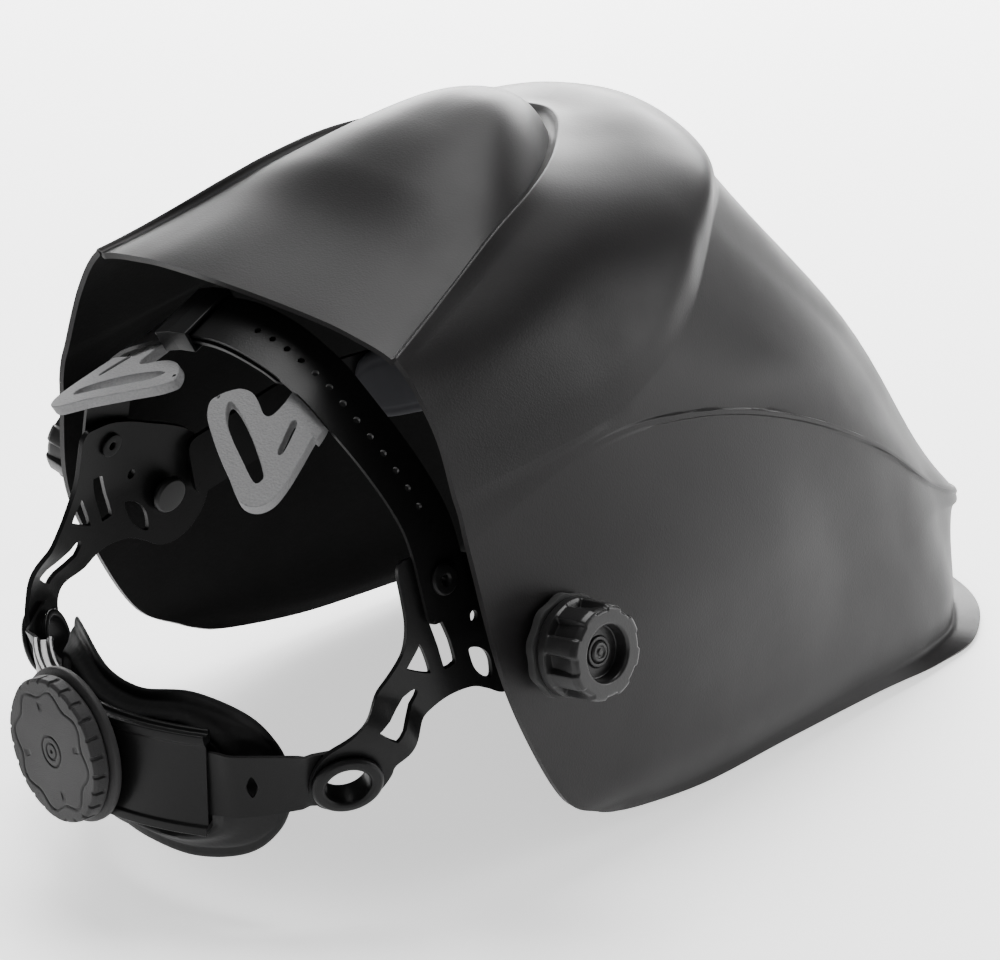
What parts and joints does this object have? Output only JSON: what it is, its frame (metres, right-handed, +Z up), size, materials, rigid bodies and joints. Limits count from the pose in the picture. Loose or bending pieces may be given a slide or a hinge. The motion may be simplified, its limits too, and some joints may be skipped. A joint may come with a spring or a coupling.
{
  "type": "laser welding helmet",
  "caption": "Hollow dark helmet shell with a window, tilting on two knobs about a ratchet headgear with crown strap, pads and a rear cushion.",
  "frame": {"origin": "middle of the footprint, on the plane that the helmet stands on", "axes": "-Y is the way the face looks, +Z up, +X the wearer's left"},
  "size_m": [0.2922, 0.4602, 0.2661],
  "materials": {
    "shell_black": "moulded charcoal nylon, satin matte",
    "frame_black": "moulded black plastic, matte",
    "lens_dark": "dark green filter glass, gloss",
    "gear_black": "moulded black plastic, satin",
    "knob_grey": "moulded dark grey plastic, fine texture",
    "rubber": "black rubber, matte",
    "steel": "blackened steel",
    "foam": "moulded soft vinyl over foam, dull",
    "pad_grey": "soft grey pad, dull"
  },
  "bodies": {
    "headgear": {"crown_keeper": "gear_black", "crown_pad_left": "pad_grey", "crown_pad_right": "pad_grey", "crown_rivet_left": "gear_black", "crown_rivet_right": "gear_black", "crown_strap_left": "gear_black", "crown_strap_right": "gear_black", "forehead_pad": "foam", "front_band": "gear_black", "ratchet_housing": "gear_black", "ratchet_knob": "knob_grey", "ratchet_skirt": "knob_grey", "rear_cushion": "foam", "rear_strap_left": "gear_black", "rear_strap_right": "gear_black", "side_plate_left": "gear_black", "side_plate_right": "gear_black", "strap_ring_left": "gear_black", "strap_ring_right": "gear_black"},
    "helmet_shell": {"knob_washer_left": "rubber", "knob_washer_right": "rubber", "pivot_bolt_left": "steel", "pivot_bolt_right": "steel", "pivot_spacer_left": "gear_black", "pivot_spacer_right": "gear_black", "shell": "shell_black", "window_frame": "frame_black", "window_lens": "lens_dark"},
    "knob_left": {"pivot_knob_left": "gear_black"},
    "knob_right": {"pivot_knob_right": "gear_black"}
  },
  "joints": [
    {"name": "shell_tilt", "type": "hinge", "parent": "headgear", "child": "helmet_shell", "pos_m": [0, 0.09589, 0.0993], "axis": [-1, 0, 0], "range_deg": [0, 65]},
    {"name": "knob_spin_left", "type": "hinge", "parent": "helmet_shell", "child": "knob_left", "pos_m": [0.0943, 0.09589, 0.0993], "axis": [0.9848, 0, 0.1736], "continuous": true},
    {"name": "knob_spin_right", "type": "hinge", "parent": "helmet_shell", "child": "knob_right", "pos_m": [-0.0943, 0.09589, 0.0993], "axis": [-0.9848, 0, 0.1736], "continuous": true}
  ]
}
